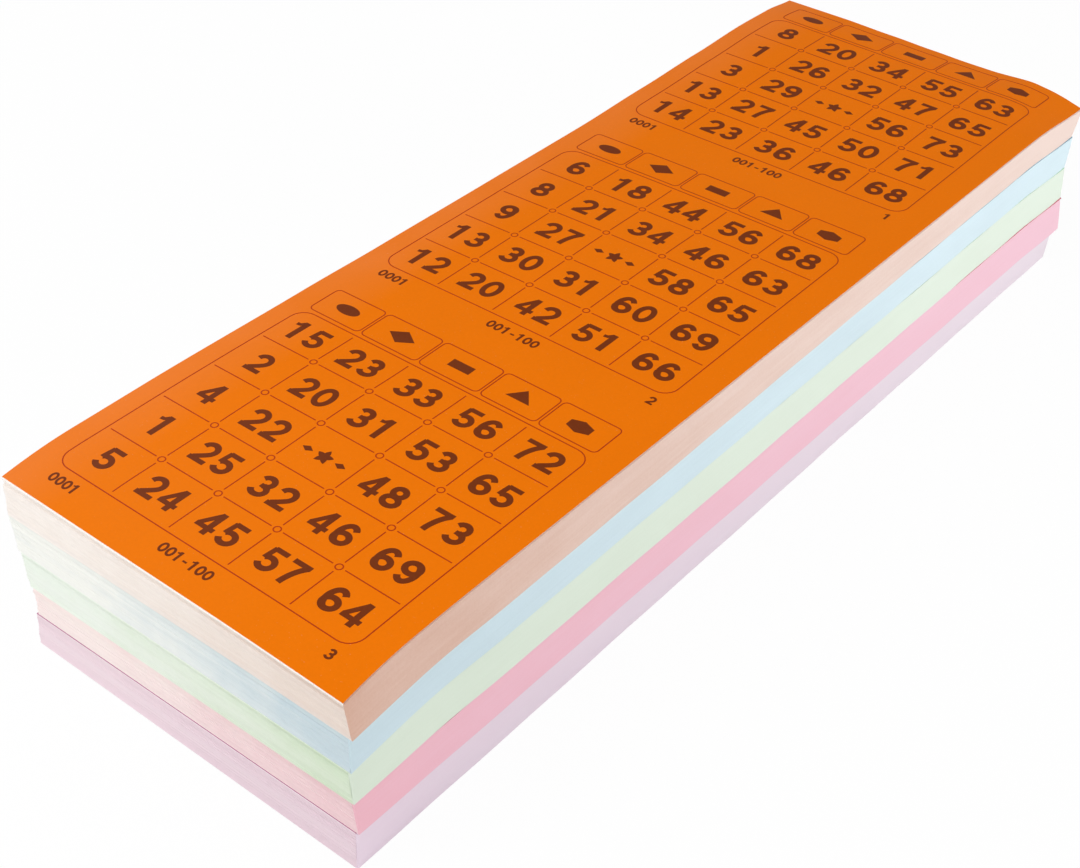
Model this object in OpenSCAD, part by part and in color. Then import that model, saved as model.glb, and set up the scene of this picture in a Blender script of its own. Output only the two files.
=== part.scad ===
// A stack of five glued pads of three-card number-game tickets.
// The origin is under the middle of the stack, on the surface that it stands on.
// +X runs across a ticket to its glued edge, +Y along its three cards, +Z up.

/* [Ticket] */
// Width of a ticket, from its free edge to its glued edge
ticket_w = 70; // [60:0.5:90]
// Length of a ticket, along its three cards
ticket_l = 210; // [180:1:260]
// Thickness of the paper
paper_t = 0.066; // [0.05:0.002:0.12]

/* [Pad] */
// Tickets glued together in one pad
pad_leaves = 100; // [60:2:120]
// Leaves at the top of a pad, below its first two, that have worked loose
loose_leaves = 18; // [6:1:36]
// Thickness of the dried glue along the edge of a pad
glue_t = 0.2; // [0.1:0.05:0.6]
// How far the near ends of the loose leaves lie back from the end of their pad
loose_back = 0.7; // [0:0.1:2]

/* [Stack] */
// How far the glued edge of a pad strays sideways from the line of the stack
stray = 1.2; // [0:0.1:3]
// How much narrower the most trimmed pad is than a full ticket
trim_w = 2; // [0:0.25:4]
// How much shorter the most trimmed pad is than a full ticket
trim_l = 3; // [0:0.25:6]
// How far the near end of a pad lies back from the near end of the stack
set_back = 0.6; // [0:0.1:2]
// Angle by which the most crooked pad is turned
skew = 0.12; // [0:0.02:0.5]
// Air left under each pad that lies on another one
clearance = 0.001; // [0.001:0.001:0.01]

/* [Hidden] */

// Pads from the bottom of the stack upwards
LILAC = 0;
PINK = 1;
GREEN = 2;
BLUE = 3;
ORANGE = 4;

// Printed face and paper edge of each pad
face_colours = [
    [0.72, 0.56, 0.76], [0.90, 0.28, 0.36], [0.48, 0.80, 0.46], [0.45, 0.66, 0.80], [0.95, 0.46, 0.05],
];
edge_colours = [
    [0.90, 0.84, 0.92], [0.97, 0.76, 0.82], [0.87, 0.95, 0.86], [0.82, 0.91, 0.96], [0.93, 0.82, 0.76],
];

// Where each pad lies, as shares of the sizes above. The sides of a pad lean
// where its glued edge strays differently at its bottom and at its top.
stray_bottom_shares = [-0.45, -0.6, -0.65, -0.5, 0.5];
stray_top_shares = [-0.6, -0.65, -0.5, -1, -0.5];
trim_w_shares = [0.6, 0.8, 1, 0.9, 0];
trim_l_shares = [1, 0.2, 0.1, 0.15, 0];
set_back_shares = [0.2, 0.8, 1, 0.3, 0];
skew_shares = [-0.5, 1, -1, 0.5, 0];

// Near ends of the bundles of loose leaves, from the lowest bundle up
bundle_back_shares = [0.25, 1, 0.5];

pad_h = pad_leaves * paper_t;
top_z = pad_h - paper_t;
second_z = top_z - paper_t;
loose_z = second_z - loose_leaves * paper_t;
bundle_count = len(bundle_back_shares);
bundle_h = (second_z - loose_z) / bundle_count;

// Height of the underside of a pad above the surface
function pad_z(pad) = pad * pad_h;

// Height at which a pad's leaves start, above its own place in the stack
function first_leaf_z(pad) = pad == LILAC ? 0 : clearance;

// How far a pad strays sideways at a height above its own underside
function stray_at(pad, z) =
    stray * (stray_bottom_shares[pad] + (stray_top_shares[pad] - stray_bottom_shares[pad]) * z / pad_h);

// Glued edge, free edge, near end and far end of a pad's leaves, before it strays or turns
leaf_right = ticket_w / 2 - glue_t;
function leaf_left(pad) = trim_w * trim_w_shares[pad] - ticket_w / 2;
function near_end(pad) = set_back * set_back_shares[pad] - ticket_l / 2;
function far_end(pad) = ticket_l / 2 - trim_l * trim_l_shares[pad];

// Puts what a pad holds on its place in the stack
module in_stack(pad) {
    translate([0, 0, pad_z(pad)])
        rotate([0, 0, skew * skew_shares[pad]])
            children();
}

// A run of paper or glue between two heights of a pad, leaning as the pad does
module leaning_run(pad, low, high, left, right, near, far) {
    bottom = stray_at(pad, low);
    top = stray_at(pad, high);
    translate([0, far, 0])
        rotate([90, 0, 0])
            linear_extrude(far - near)
                polygon([
                    [left + bottom, low], [right + bottom, low],
                    [right + top, high], [left + top, high],
                ]);
}

// One flat ticket of a pad, with its underside at a height above the pad's own
module ticket(pad, z) {
    side = stray_at(pad, pad_h);
    translate([leaf_left(pad) + side, near_end(pad), z])
        cube([leaf_right - leaf_left(pad), far_end(pad) - near_end(pad), paper_t]);
}

// First ticket of a pad, printed side up
module top_ticket(pad) {
    color(face_colours[pad])
        in_stack(pad)
            ticket(pad, top_z);
}

// Ticket under the first one
module second_ticket(pad) {
    color(face_colours[pad])
        in_stack(pad)
            ticket(pad, second_z);
}

// Bundles of leaves that are still glued along one edge but no longer lie even
module loose_tickets(pad) {
    color(edge_colours[pad])
        in_stack(pad)
            for (bundle = [0 : bundle_count - 1])
                leaning_run(pad, loose_z + bundle * bundle_h, loose_z + (bundle + 1) * bundle_h,
                    leaf_left(pad), leaf_right,
                    near_end(pad) + loose_back * bundle_back_shares[bundle], far_end(pad));
}

// The rest of a pad's leaves, lying tight
module ticket_block(pad) {
    color(edge_colours[pad])
        in_stack(pad)
            leaning_run(pad, first_leaf_z(pad), loose_z,
                leaf_left(pad), leaf_right, near_end(pad), far_end(pad));
}

// Film of dried glue that holds a pad's leaves together along one long edge
module glue_edge(pad) {
    color(edge_colours[pad])
        in_stack(pad)
            leaning_run(pad, first_leaf_z(pad), second_z,
                leaf_right, leaf_right + glue_t, near_end(pad), far_end(pad));
}

top_ticket(LILAC);  // lilac_top_ticket
second_ticket(LILAC);  // lilac_second_ticket
loose_tickets(LILAC);  // lilac_loose_tickets
ticket_block(LILAC);  // lilac_ticket_block
glue_edge(LILAC);  // lilac_glue_edge
top_ticket(PINK);  // pink_top_ticket
second_ticket(PINK);  // pink_second_ticket
loose_tickets(PINK);  // pink_loose_tickets
ticket_block(PINK);  // pink_ticket_block
glue_edge(PINK);  // pink_glue_edge
top_ticket(GREEN);  // green_top_ticket
second_ticket(GREEN);  // green_second_ticket
loose_tickets(GREEN);  // green_loose_tickets
ticket_block(GREEN);  // green_ticket_block
glue_edge(GREEN);  // green_glue_edge
top_ticket(BLUE);  // blue_top_ticket
second_ticket(BLUE);  // blue_second_ticket
loose_tickets(BLUE);  // blue_loose_tickets
ticket_block(BLUE);  // blue_ticket_block
glue_edge(BLUE);  // blue_glue_edge
top_ticket(ORANGE);  // orange_top_ticket
second_ticket(ORANGE);  // orange_second_ticket
loose_tickets(ORANGE);  // orange_loose_tickets
ticket_block(ORANGE);  // orange_ticket_block
glue_edge(ORANGE);  // orange_glue_edge
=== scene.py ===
"""A stack of five glued pads of number-game tickets, with its leaves, prints and glue.

Lengths here are millimetres and become metres where a mesh is finished. +X runs across a
ticket to its glued edge, +Y along its three cards and +Z up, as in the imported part.
"""

import logging
import math
import random
from dataclasses import dataclass
from enum import Enum
from typing import Iterable, Sequence

import bmesh
import bpy
import numpy as np
from mathutils import Matrix, Vector


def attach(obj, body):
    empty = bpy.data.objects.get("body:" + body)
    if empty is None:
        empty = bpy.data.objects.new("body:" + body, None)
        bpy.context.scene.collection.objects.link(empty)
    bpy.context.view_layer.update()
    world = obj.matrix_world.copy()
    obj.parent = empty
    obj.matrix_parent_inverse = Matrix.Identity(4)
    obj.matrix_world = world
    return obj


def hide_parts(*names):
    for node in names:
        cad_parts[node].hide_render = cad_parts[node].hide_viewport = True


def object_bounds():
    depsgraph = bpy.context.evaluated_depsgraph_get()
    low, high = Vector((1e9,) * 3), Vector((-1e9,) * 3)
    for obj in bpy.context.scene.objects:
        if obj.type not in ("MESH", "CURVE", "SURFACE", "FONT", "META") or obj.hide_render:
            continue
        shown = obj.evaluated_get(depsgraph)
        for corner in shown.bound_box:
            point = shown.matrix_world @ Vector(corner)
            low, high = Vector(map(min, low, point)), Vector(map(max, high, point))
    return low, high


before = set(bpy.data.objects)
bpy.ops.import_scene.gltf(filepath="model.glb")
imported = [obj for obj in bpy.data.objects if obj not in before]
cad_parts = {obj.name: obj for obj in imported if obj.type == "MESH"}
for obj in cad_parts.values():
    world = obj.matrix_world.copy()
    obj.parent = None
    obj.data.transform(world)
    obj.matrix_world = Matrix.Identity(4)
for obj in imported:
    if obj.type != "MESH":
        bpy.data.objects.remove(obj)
CAD_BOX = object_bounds()

MM = 0.001
LOG = logging.getLogger("ticket_pads")

Point = tuple[float, float]
Colour = tuple[float, float, float]
Values = np.ndarray | float
Card = Sequence[Sequence[int]]
Sheet = bmesh.types.BMesh


def deselect_all() -> None:
    """Deselect every object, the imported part's own nodes among them."""
    bpy.ops.object.select_all(action="DESELECT")


def make_active(piece: bpy.types.Object) -> None:
    """Select one object alone and make it the active one.

    Args:
        piece: The object that the next operators act on.
    """
    deselect_all()
    piece.select_set(True)
    bpy.context.view_layer.objects.active = piece


def edit(piece: bpy.types.Object) -> None:
    """Open an object in edit mode with all of it selected.

    Args:
        piece: The mesh object to edit.
    """
    make_active(piece)
    bpy.ops.object.mode_set(mode="EDIT")
    bpy.ops.mesh.select_all(action="SELECT")


def leave_edit() -> None:
    """Go back to object mode."""
    bpy.ops.object.mode_set(mode="OBJECT")


def raise_selected() -> None:
    """Extrude what is selected in edit mode upwards by 1."""
    bpy.ops.mesh.extrude_region_move(TRANSFORM_OT_translate={"value": (0.0, 0.0, 1.0)})


def add_object(name: str, data: bpy.types.ID) -> bpy.types.Object:
    """Add an object with such data to the scene.

    Args:
        name: The object's name.
        data: Its mesh, curve, lamp or camera.

    Returns:
        The object.
    """
    piece = bpy.data.objects.new(name, data)
    bpy.context.scene.collection.objects.link(piece)
    return piece


def add_grid(across: int, along: int, level: float = 0.0) -> bpy.types.Object:
    """Add a flat sheet from 0 to 1 on X and Y, cut into small faces.

    Args:
        across: Faces along X.
        along: Faces along Y.
        level: Its place on Z.

    Returns:
        The sheet.
    """
    deselect_all()
    middle = (0.5, 0.5, level)
    faces = {"x_subdivisions": across, "y_subdivisions": along}
    bpy.ops.mesh.primitive_grid_add(size=1.0, location=middle, **faces)
    bpy.ops.object.transform_apply(location=True, rotation=False, scale=False)
    return bpy.context.object


def points_of(mesh: bpy.types.Mesh) -> np.ndarray:
    """Read a mesh's points.

    Args:
        mesh: The mesh to read.

    Returns:
        One row of x, y and z for each point.
    """
    flat = np.empty(len(mesh.vertices) * 3, np.float32)
    mesh.vertices.foreach_get("co", flat)
    return flat.reshape(-1, 3).astype(float)


def set_points(mesh: bpy.types.Mesh, points: np.ndarray) -> None:
    """Move a mesh's points to places given as one row of x, y and z each."""
    mesh.vertices.foreach_set("co", points.astype(np.float32).ravel())
    mesh.update()


def hold(share: Values) -> Values:
    """Hold a share between 0 and 1."""
    return np.clip(share, 0.0, 1.0)


def ease(share: Values) -> Values:
    """Go from 0 to 1 with a soft start and a soft end, as the share does."""
    held = hold(share)
    return held * held * (3.0 - 2.0 * held)


def mix(start: Values, end: Values, share: Values) -> Values:
    """Go straight from a start, where the share is 0, to an end, where it is 1."""
    return start + (end - start) * share


def eased_run(places: Sequence[float], values: Sequence[float], at: np.ndarray) -> np.ndarray:
    """Read a smooth line through a few given values.

    Args:
        places: Where the values hold, in rising order.
        values: The value at each place.
        at: Where the line is read.

    Returns:
        The line's value at each of them.
    """
    spot = np.clip(np.searchsorted(places, at) - 1, 0, len(places) - 2)
    low, high = np.take(places, spot), np.take(places, spot + 1)
    return mix(np.take(values, spot), np.take(values, spot + 1), ease((at - low) / (high - low)))


def linear(red: int, green: int, blue: int) -> Colour:
    """Turn a screen's colour into the values that shaders use.

    Args:
        red: Red, from 0 to 255.
        green: Green.
        blue: Blue.

    Returns:
        The three parts, from 0 to 1.
    """
    return tuple(
        part / 12.92 if part <= 0.04045 else ((part + 0.055) / 1.055) ** 2.4
        for part in (red / 255, green / 255, blue / 255)
    )


def tinted(colour: Colour, other: Colour, share: float) -> Colour:
    """Mix a colour with a share of another one."""
    return tuple(mix(a, b, share) for a, b in zip(colour, other))


# Materials


class Signal:
    """One output of a shader node, which can be used in sums like a number."""

    def __init__(self, recipe: "Recipe", socket: bpy.types.NodeSocket) -> None:
        """Keep the socket and the recipe that it belongs to."""
        self.recipe = recipe
        self.socket = socket

    def _sum(self, operation: str, first: "Signal | float", second: "Signal | float") -> "Signal":
        """Add one Math node and give its output."""
        return self.recipe.node("ShaderNodeMath", {"operation": operation}, {0: first, 1: second})

    def __add__(self, other: "Signal | float") -> "Signal":
        """Add."""
        return self._sum("ADD", self, other)

    def __radd__(self, other: float) -> "Signal":
        """Add to a number."""
        return self._sum("ADD", other, self)

    def __sub__(self, other: "Signal | float") -> "Signal":
        """Subtract."""
        return self._sum("SUBTRACT", self, other)

    def __rsub__(self, other: float) -> "Signal":
        """Subtract from a number."""
        return self._sum("SUBTRACT", other, self)

    def __mul__(self, other: "Signal | float") -> "Signal":
        """Multiply."""
        return self._sum("MULTIPLY", self, other)

    def __rmul__(self, other: float) -> "Signal":
        """Multiply a number."""
        return self._sum("MULTIPLY", other, self)

    def __pow__(self, other: "Signal | float") -> "Signal":
        """Raise to a power."""
        return self._sum("POWER", self, other)


class Recipe:
    """The node tree of one material."""

    def __init__(self, name: str) -> None:
        """Start a material with one plain surface shader.

        Args:
            name: The material's name.
        """
        self.material = bpy.data.materials.new(name)
        self.material.use_nodes = True
        self.tree = self.material.node_tree
        self.shader = self.tree.nodes["Principled BSDF"]
        self.place = self.node("ShaderNodeTexCoord", {}, {}, "Object")

    def node(
        self,
        kind: str,
        settings: dict[str, object],
        inputs: dict[str | int, object],
        output: str | int = 0,
    ) -> Signal:
        """Add one node.

        Args:
            kind: The node's type.
            settings: What is set on the node itself, before its sockets.
            inputs: A value or a link for each of its sockets.
            output: The socket that is wanted.

        Returns:
            That output.
        """
        made = self.tree.nodes.new(kind)
        for name, value in settings.items():
            setattr(made, name, value)
        for socket, value in inputs.items():
            if isinstance(value, Signal):
                self.tree.links.new(value.socket, made.inputs[socket])
            elif isinstance(value, tuple) and made.inputs[socket].type == "RGBA":
                made.inputs[socket].default_value = (*value, 1.0)
            else:
                made.inputs[socket].default_value = value
        return Signal(self, made.outputs[output])

    def stretched(self, across: float, along: float, up: float) -> Signal:
        """Give object coordinates, multiplied by a factor on each axis."""
        return self.node("ShaderNodeMapping", {}, {"Vector": self.place, "Scale": (across, along, up)})

    def noise(self, where: Signal, size: float, detail: float = 2.0) -> Signal:
        """Give soft random blotches between 0 and 1, of a usual size in millimetres."""
        sockets = {"Vector": where, "Scale": 1.0 / (size * MM), "Detail": detail}
        return self.node("ShaderNodeTexNoise", {}, sockets)

    def ramp(self, value: Signal, low: float, high: float) -> Signal:
        """Spread a value over 0 to 1 between the two that become 0 and 1, and hold it there."""
        sockets = {"Value": value, "From Min": low, "From Max": high}
        return self.node("ShaderNodeMapRange", {"clamp": True}, sockets)

    def axis(self, which: str) -> Signal:
        """Give the object coordinate on X, Y or Z, in metres."""
        return self.node("ShaderNodeSeparateXYZ", {}, {"Vector": self.place}, which)

    def attribute(self, name: str) -> Signal:
        """Give a value that the mesh keeps for each of its points."""
        return self.node("ShaderNodeAttribute", {"attribute_name": name}, {}, "Fac")

    def blend(self, share: Signal, colour: "Signal | Colour", other: "Signal | Colour") -> Signal:
        """Mix a colour with a share of another one."""
        return self.node("ShaderNodeMix", {"data_type": "RGBA"}, {0: share, 6: colour, 7: other}, 2)

    def feed(self, socket: str, value: "Signal | Colour | float") -> None:
        """Give one socket of the surface shader its value.

        Args:
            socket: The socket's name.
            value: A link, a colour or a number.
        """
        target = self.shader.inputs[socket]
        if isinstance(value, Signal):
            self.tree.links.new(value.socket, target)
        elif isinstance(value, tuple):
            target.default_value = (*value, 1.0)
        else:
            target.default_value = value

    def relief(self, height: Signal, strength: float, depth: float) -> None:
        """Roughen the surface by a height from 0 to 1, with its depth in millimetres."""
        sockets = {"Height": height, "Strength": strength, "Distance": depth * MM}
        self.feed("Normal", self.node("ShaderNodeBump", {}, sockets))


@dataclass(frozen=True)
class PrintedFace:
    """The side of a ticket that is printed all over in the pad's colour."""

    name: str
    colour: Colour
    roughness: float = 0.36
    shine: float = 0.02
    # Where the painted sheen starts and where it is full, on X in millimetres
    rubbed_from: float = -23.0
    rubbed_to: float = -34.0

    def material(self) -> bpy.types.Material:
        """Make the material.

        Returns:
            The material.
        """
        recipe = Recipe(self.name)
        fibre = recipe.noise(recipe.place, 0.55, 3.0)
        cloud = recipe.noise(recipe.place, 17.0)
        lie = recipe.noise(recipe.stretched(1.0, 0.35, 1.0), 1.6)
        speck = recipe.ramp(recipe.noise(recipe.place, 0.3, 1.0), 0.72, 0.78)
        deep = tinted(self.colour, (0.0, 0.0, 0.0), 0.08)
        light = tuple(min(1.0, part * 1.06) for part in self.colour)
        even = recipe.blend(fibre * 0.5 + cloud * 0.3 + lie * 0.2, deep, light)
        pale = tinted(self.colour, (1.0, 0.95, 0.85), 0.2)
        # Painted sheen: towards the free margin the print is mixed with a pale tint, standing in for the
        # satin reflection of a soft lamp on that side; the specks are real
        painted_sheen = recipe.ramp(recipe.axis("X"), self.rubbed_from * MM, self.rubbed_to * MM)
        sheen_and_specks = painted_sheen * (cloud * 0.2 + 0.04) + speck * 0.3
        recipe.feed("Base Color", recipe.blend(sheen_and_specks, even, pale))
        recipe.feed("Roughness", self.roughness + (fibre - 0.5) * 0.12 + (cloud - 0.5) * 0.16)
        recipe.feed("Specular IOR Level", self.shine)
        recipe.relief(fibre * 0.6 + lie * 0.4, 0.22, 0.03)
        return recipe.material


@dataclass(frozen=True)
class BarePaper:
    """Unprinted paper, as on the underside and the cut edges of a ticket."""

    name: str
    tint: Colour

    def material(self) -> bpy.types.Material:
        """Make the material.

        Returns:
            The material.
        """
        recipe = Recipe(self.name)
        fibre = recipe.noise(recipe.place, 0.45, 3.0)
        cloud = recipe.noise(recipe.place, 9.0)
        white = linear(254, 252, 247)
        paper = tinted(white, self.tint, 0.05)
        shaded = tinted(paper, self.tint, 0.12)
        recipe.feed("Base Color", recipe.blend(fibre * 0.6 + cloud * 0.4, shaded, paper))
        recipe.feed("Roughness", 0.8 + (fibre - 0.5) * 0.1)
        recipe.relief(fibre, 0.2, 0.02)
        return recipe.material


@dataclass(frozen=True)
class InkFilm:
    """Dark ink of the numbers and lines, printed over a coloured face."""

    name: str
    colour: Colour

    def material(self) -> bpy.types.Material:
        """Make the material.

        Returns:
            The material.
        """
        recipe = Recipe(self.name)
        fibre = recipe.noise(recipe.place, 0.35, 3.0)
        patch = recipe.noise(recipe.place, 2.5, 1.0)
        thin = tinted(self.colour, (0.6, 0.25, 0.1), 0.09)
        recipe.feed("Base Color", recipe.blend(fibre * 0.7 + patch * 0.3, self.colour, thin))
        recipe.feed("Roughness", 0.42 + (fibre - 0.5) * 0.15)
        recipe.feed("Specular IOR Level", 0.06)
        recipe.relief(fibre, 0.2, 0.015)
        return recipe.material


@dataclass(frozen=True)
class LeafEdges:
    """The cut edges of a pad's leaves, tinted by the ink that reaches them and by painted light and
    shade.
    """

    name: str
    tint: Colour
    washed: Colour
    bare_side: float = -20.0
    inked_side: float = 33.0

    def material(self) -> bpy.types.Material:
        """Make the material.

        Returns:
            The material.
        """
        recipe = Recipe(self.name)
        bundle = recipe.noise(recipe.stretched(0.012, 0.012, 1.0), 0.5, 3.0)
        leaf = recipe.noise(recipe.stretched(0.02, 0.02, 1.0), 0.12, 1.0)
        patch = recipe.noise(recipe.place, 6.0)
        tone = recipe.attribute("leaf_tone")
        # Paler towards the bare side, where less ink reaches; on the leaves' cut edges the paler free
        # side is partly painted light too, standing in for the near lamp washing them out
        inked = recipe.ramp(recipe.axis("X"), self.bare_side * MM, self.inked_side * MM)
        share = recipe.ramp(inked + (patch - 0.5) * 0.6 + (bundle - 0.5) * 0.4, 0.05, 0.95)
        even = recipe.blend(share, self.washed, self.tint)
        # Grey streaks along the leaves: partly the random tone of each leaf and bundle, partly painted
        # shade standing in for the gaps between bundles
        dark = tinted(self.tint, (0.35, 0.33, 0.33), 0.55)
        streak = recipe.ramp(bundle * 0.5 + leaf * 0.3 + tone * 0.2, 0.42, 0.9)
        streaked = recipe.blend(streak * 0.16, even, dark)
        # White edges on the highest loose leaves: a painted highlight where those edges catch the light
        fresh = recipe.attribute("fresh")
        recipe.feed("Base Color", recipe.blend(fresh, streaked, linear(255, 254, 250)))
        recipe.feed("Roughness", 0.78 + (leaf - 0.5) * 0.2)
        recipe.relief(leaf * 0.6 + bundle * 0.4, 0.35, 0.04)
        return recipe.material


@dataclass(frozen=True)
class PaddingGlue:
    """Dried glue along a pad's spine, which lets the colour of the leaves through."""

    name: str
    near_tint: Colour
    far_tint: Colour
    half_length: float = 105.0
    paling: float = 0.55

    def material(self) -> bpy.types.Material:
        """Make the material.

        Returns:
            The material.
        """
        recipe = Recipe(self.name)
        drift = recipe.noise(recipe.stretched(1.0, 0.3, 1.0), 6.0)
        brushed = recipe.noise(recipe.stretched(1.0, 0.03, 1.0), 0.4)
        grain = recipe.noise(recipe.place, 0.4)
        # Painted light and shade: the glue runs from a darker tint at the near end to a paler one at the
        # far end, as the lamps light the far end of the glued side more
        along = recipe.ramp(recipe.axis("Y"), -self.half_length * MM, self.half_length * MM)
        thick = (drift - 0.5) * 0.5 + (brushed - 0.5) * 0.35 + (grain - 0.5) * 0.25
        share = recipe.ramp(along**self.paling * 1.05 + thick, 0.0, 1.0)
        recipe.feed("Base Color", recipe.blend(share, self.near_tint, self.far_tint))
        recipe.feed("Roughness", 0.5 + (drift - 0.5) * 0.2)
        recipe.relief(brushed * 0.6 + grain * 0.4, 0.25, 0.03)
        return recipe.material


# How the stack lies


class PadName(Enum):
    """The pads, by the colour of their print, from the bottom of the stack upwards."""

    LILAC = "lilac"
    PINK = "pink"
    GREEN = "green"
    BLUE = "blue"
    ORANGE = "orange"


@dataclass(frozen=True)
class Gap:
    """A gap between two leaves at the near end, whose opening waves across the pad."""

    leaves_above: int
    opening: float
    wave_length: float
    phase: float


@dataclass(frozen=True)
class Lie:
    """How a pad's real shape departs from a straight one.

    A pair is given as (at the pad's bottom, at its top), apart from the lips: how far the rim of
    the top ticket reaches out at the near end as (free side, glued side), and at the glue as
    (near end, far end).
    """

    near_left_in: Point
    far_right_back: Point
    glue_near: Point
    glue_far: Point
    near_left_out: Point
    near_right_out: Point
    trim_near: Point = (0.0, 0.0)
    trim_far: Point = (0.0, 0.0)
    flare: Point = (0.0, 0.0)
    pinch: Point = (0.0, 0.0)
    lip_near: Point = (0.0, 0.0)
    lip_glue: Point = (0.0, 0.0)
    gaps: tuple[Gap, ...] = ()
    bundle_backs: tuple[float, ...] = (0.0,)
    fresh_leaves: int = 0
    # How many of the highest loose leaves get white edges, a painted highlight
    inked_rim: bool = False


@dataclass(frozen=True)
class StackForm:
    """The waves and wear-bent corners of the whole stack."""

    half_width: float
    half_length: float
    height: float
    near_corner_reach: float = 15.0
    near_end_reach: float = 40.0
    near_droop: float = 0.5
    near_droop_reach: float = 26.0
    flare_reach: float = 16.0
    pinch_at: float = 21.0
    pinch_reach: float = 9.0
    margin_start: float = 29.0
    margin_width: float = 4.5
    far_corner_reach: float = 34.0
    far_corner_start: float = 23.0
    far_corner_width: float = 11.0
    far_corner_power: float = 1.8
    far_droop: float = 1.35
    droop_width: float = 14.0
    droop_length: float = 22.0
    wave_places: tuple[float, ...] = (-105, -92, -72, -42, -24, 4, 32, 52, 70, 86, 96, 105)
    wave_heights: tuple[float, ...] = (
        0.0, 0.1, 0.25, 0.0, -0.25, -0.4, -0.5, -0.1, 0.35, 0.8, 0.65, 0.0,
    )
    ridge_places: tuple[float, ...] = (-105, -80, -60, -48, -25, 3, 22, 48, 60, 75, 92, 105)
    ridge_heights: tuple[float, ...] = (
        0.0, 0.05, 0.32, 0.12, 0.3, 0.62, 0.35, -0.17, 0.0, 0.22, 0.05, 0.0,
    )
    roll_length: float = 15.0
    roll_places: tuple[float, ...] = (-36, -22, -10, 0, 8, 13, 24, 31)
    roll_drops: tuple[float, ...] = (0.27, 0.27, 0.53, 0.78, 0.94, 0.94, 0.45, 0.0)
    # Powers: how a wave dies away sideways, and how each bend grows from the floor upwards
    fade: float = 1.5
    wave_growth: int = 2
    far_droop_growth: float = 0.7
    near_droop_growth: int = 4

    def lift(self, points: np.ndarray) -> np.ndarray:
        """Give how far each point of the straight stack rises.

        Args:
            points: Points of the straight stack, one row each.

        Returns:
            The rise of each point.
        """
        x, y, z = points.T
        level = np.clip(z / self.height, 0.0, None)
        across = hold((x + self.half_width) / (2 * self.half_width))
        side = eased_run(self.wave_places, self.wave_heights, y) * (1.0 - across) ** self.fade
        ridge = eased_run(self.ridge_places, self.ridge_heights, y) * np.sin(math.pi * across)
        end = np.clip((y - self.half_length + self.roll_length) / self.roll_length, 0.0, None) ** 2
        roll = eased_run(self.roll_places, self.roll_drops, x) * end
        past_x = ease((x - self.half_width + self.droop_width) / self.droop_width)
        past_y = ease((y - self.half_length + self.droop_length) / self.droop_length)
        corner = np.hypot(x - self.half_width, y + self.half_length) / self.near_droop_reach
        near = self.near_droop * hold(1.0 - corner) ** self.fade
        far = self.far_droop * past_x * past_y
        waves = level**self.wave_growth * (side + ridge - roll)
        return waves - level**self.far_droop_growth * far - level**self.near_droop_growth * near


class Pad:
    """One pad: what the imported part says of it, and how the real one lies and looks."""

    SEED_START = 11
    SHOW_THROUGH = 0.4

    def __init__(
        self,
        name: PadName,
        face: Colour,
        leaf: Colour,
        washed: Colour,
        glue: tuple[Colour, Colour],
        ink: Colour,
        first_serial: int,
        lie: Lie,
    ) -> None:
        """Read the pad's corners from the frame and keep the rest.

        Args:
            name: Which pad it is.
            face: Colour that its tickets are printed in.
            leaf: Colour of its leaves' cut edges where the ink shows most.
            washed: Colour of those edges where it shows least, paler also as painted light from the near
                lamp.
            glue: Colour of its glue at the near end and at the far end, the near one darker as painted
                shade.
            ink: Colour of the numbers.
            first_serial: Number of its first ticket.
            lie: How it departs from a straight pad.
        """
        self.name = name
        self.first_serial = first_serial
        self.lie = lie
        self.top = Slab.of(self.node("top_ticket"))
        self.second = Slab.of(self.node("second_ticket"))
        self.block = Slab.of(self.node("ticket_block"))
        self.glue_film = Slab.of(self.node("glue_edge"))
        self.loose = Slab(self.block.high, self.second.low)
        self.paper = self.top.depth()
        self.bottom_z = float(self.block.low[0, 0, 2])
        self.top_z = float(self.top.high[0, 0, 2])
        self.seed = first_serial + self.SEED_START
        title = name.value
        self.face_finish = PrintedFace(f"{title}_flood_print", face).material()
        self.paper_finish = BarePaper(f"{title}_bare_paper", face).material()
        self.ink_finish = InkFilm(f"{title}_number_ink", ink).material()
        # A fine line lets the face show through, darkened as by a second coat of its own ink
        twice_inked = tuple(channel * channel for channel in face)
        line_ink = tinted(ink, twice_inked, self.SHOW_THROUGH)
        self.line_finish = InkFilm(f"{title}_line_ink", line_ink).material()
        self.leaf_finish = LeafEdges(f"{title}_leaf_edges", leaf, washed).material()
        # Ink that has reached a top ticket's rim fades towards the glued side
        rim = LeafEdges(f"{title}_inked_rims", face, leaf, bare_side=20.0, inked_side=-32.0)
        self.rim_finish = rim.material() if lie.inked_rim else self.paper_finish
        self.glue_finish = PaddingGlue(f"{title}_padding_glue", *glue).material()

    def node(self, part: str) -> str:
        """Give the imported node's name of one of the pad's parts."""
        return f"{self.name.value}_{part}"

    def body(self, part: str) -> str:
        """Give the body that a part rides on."""
        free = self.name is PadName.ORANGE and part in ("top_ticket", "second_ticket")
        return self.node(part) if free else self.node("pad")

    def leaf_count(self) -> int:
        """Give the number of leaves in the tight block."""
        return round(self.block.depth() / self.paper)

    def loose_count(self) -> int:
        """Give the number of leaves that have worked loose."""
        return round(self.loose.depth() / self.paper)


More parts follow.
